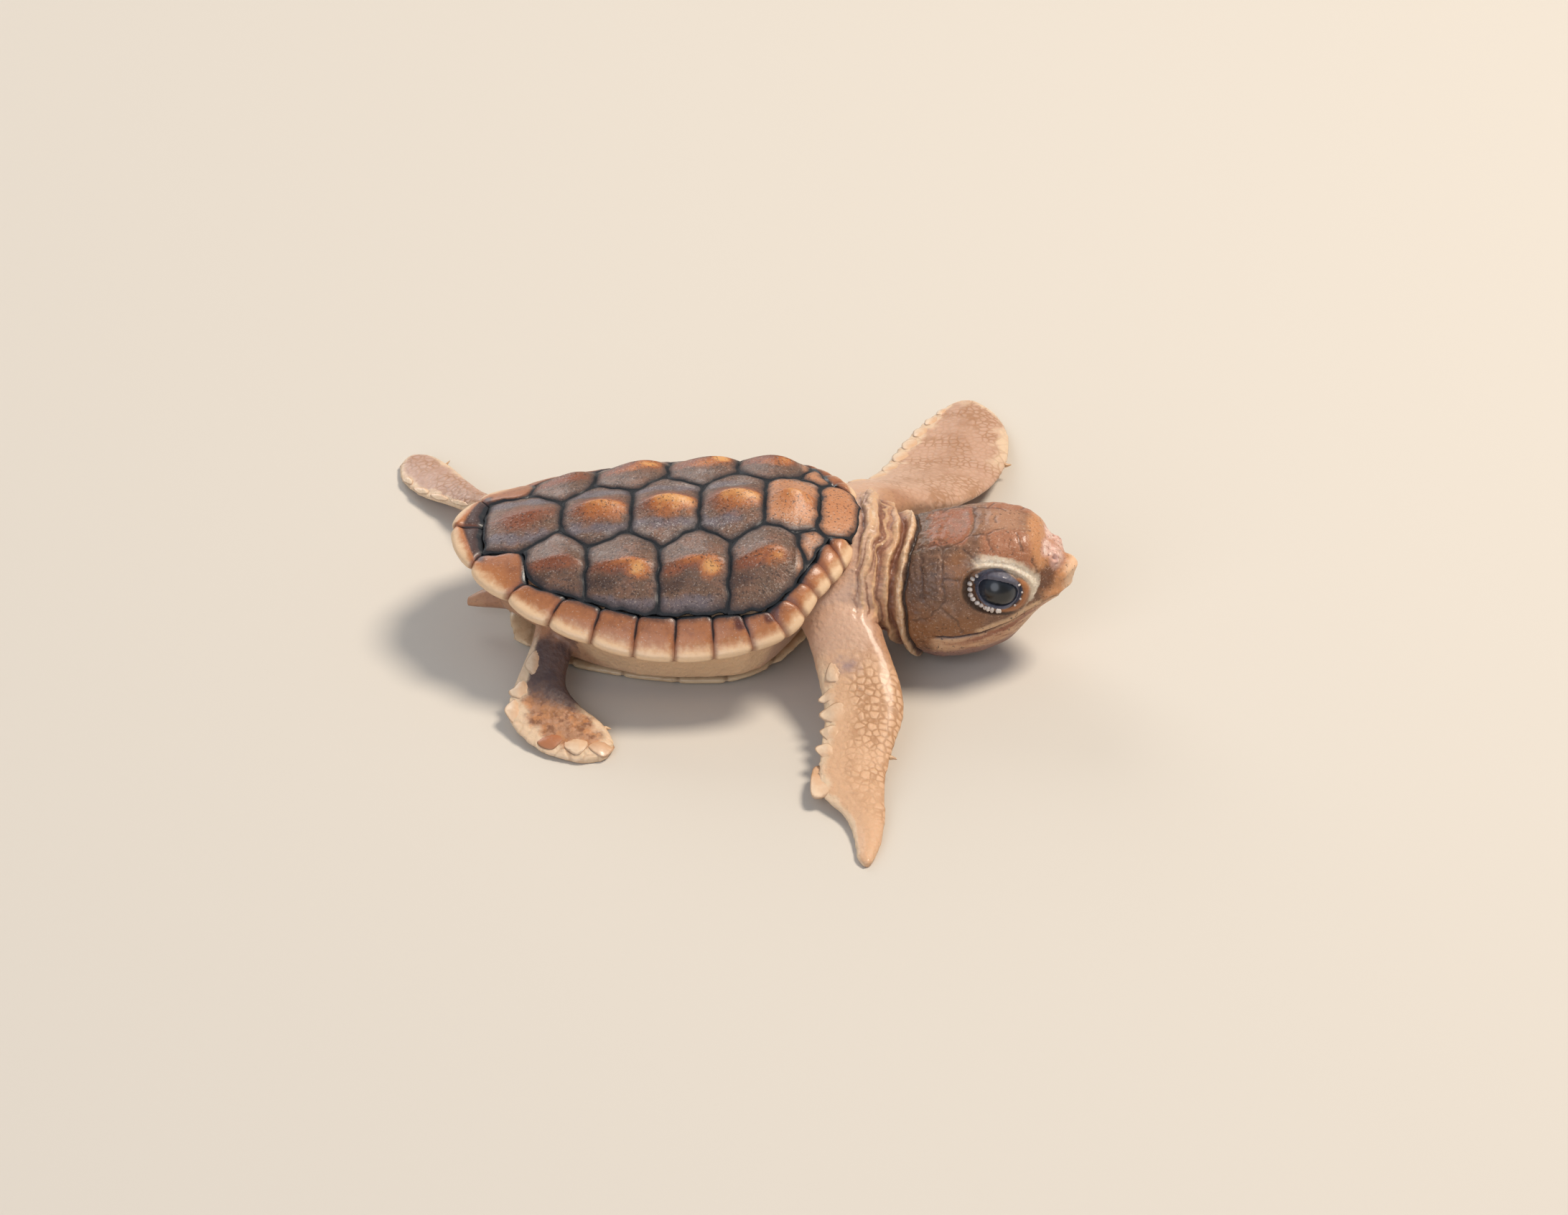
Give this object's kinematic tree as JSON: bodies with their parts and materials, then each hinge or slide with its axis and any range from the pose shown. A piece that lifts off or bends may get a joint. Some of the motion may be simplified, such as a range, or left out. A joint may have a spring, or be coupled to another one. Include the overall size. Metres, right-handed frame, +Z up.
{
  "type": "sea turtle hatchling model",
  "caption": "Life-size still model of a loggerhead sea turtle hatchling crawling, with ridged shell plates, spread flippers, lifted head and a flat belly plate.",
  "frame": {"origin": "On the floor under the middle of the shell, on the flat underside of the belly plate", "axes": "+X forward along the shell's midline towards the head, +Y the animal's left, +Z up from the floor"},
  "size_m": [0.0783, 0.0902, 0.0191],
  "materials": {
    "scute_horn": "brown ridged horn with paler knobs, damp sheen",
    "rim_horn": "lighter brown horn with a cream edge, damp sheen",
    "belly_horn": "cream horn, smooth",
    "skin": "wet scaly skin, reddish brown on the head, cream on the flippers",
    "eye": "wet, almost black",
    "claw": "pale horn"
  },
  "bodies": {
    "root": {"belly_plate": "belly_horn", "claw_front_left": "claw", "claw_front_right": "claw", "claw_hind_left": "claw", "claw_hind_right": "claw", "costal_left_1": "scute_horn", "costal_left_2": "scute_horn", "costal_left_3": "scute_horn", "costal_left_4": "scute_horn", "costal_left_5": "scute_horn", "costal_right_1": "scute_horn", "costal_right_2": "scute_horn", "costal_right_3": "scute_horn", "costal_right_4": "scute_horn", "costal_right_5": "scute_horn", "eye_left": "eye", "eye_right": "eye", "front_flipper_left": "skin", "front_flipper_right": "skin", "head": "skin", "hind_flipper_left": "skin", "hind_flipper_right": "skin", "lower_jaw": "skin", "marginal_left_01": "rim_horn", "marginal_left_02": "rim_horn", "marginal_left_03": "rim_horn", "marginal_left_04": "rim_horn", "marginal_left_05": "rim_horn", "marginal_left_06": "rim_horn", "marginal_left_07": "rim_horn", "marginal_left_08": "rim_horn", "marginal_left_09": "rim_horn", "marginal_left_10": "rim_horn", "marginal_left_11": "rim_horn", "marginal_left_12": "rim_horn", "marginal_left_13": "rim_horn", "marginal_right_01": "rim_horn", "marginal_right_02": "rim_horn", "marginal_right_03": "rim_horn", "marginal_right_04": "rim_horn", "marginal_right_05": "rim_horn", "marginal_right_06": "rim_horn", "marginal_right_07": "rim_horn", "marginal_right_08": "rim_horn", "marginal_right_09": "rim_horn", "marginal_right_10": "rim_horn", "marginal_right_11": "rim_horn", "marginal_right_12": "rim_horn", "marginal_right_13": "rim_horn", "neck": "skin", "nuchal": "rim_horn", "supracaudal_left": "rim_horn", "supracaudal_right": "rim_horn", "tail": "skin", "trunk": "skin", "vertebral_1": "scute_horn", "vertebral_2": "scute_horn", "vertebral_3": "scute_horn", "vertebral_4": "scute_horn", "vertebral_5": "scute_horn"}
  },
  "joints": []
}
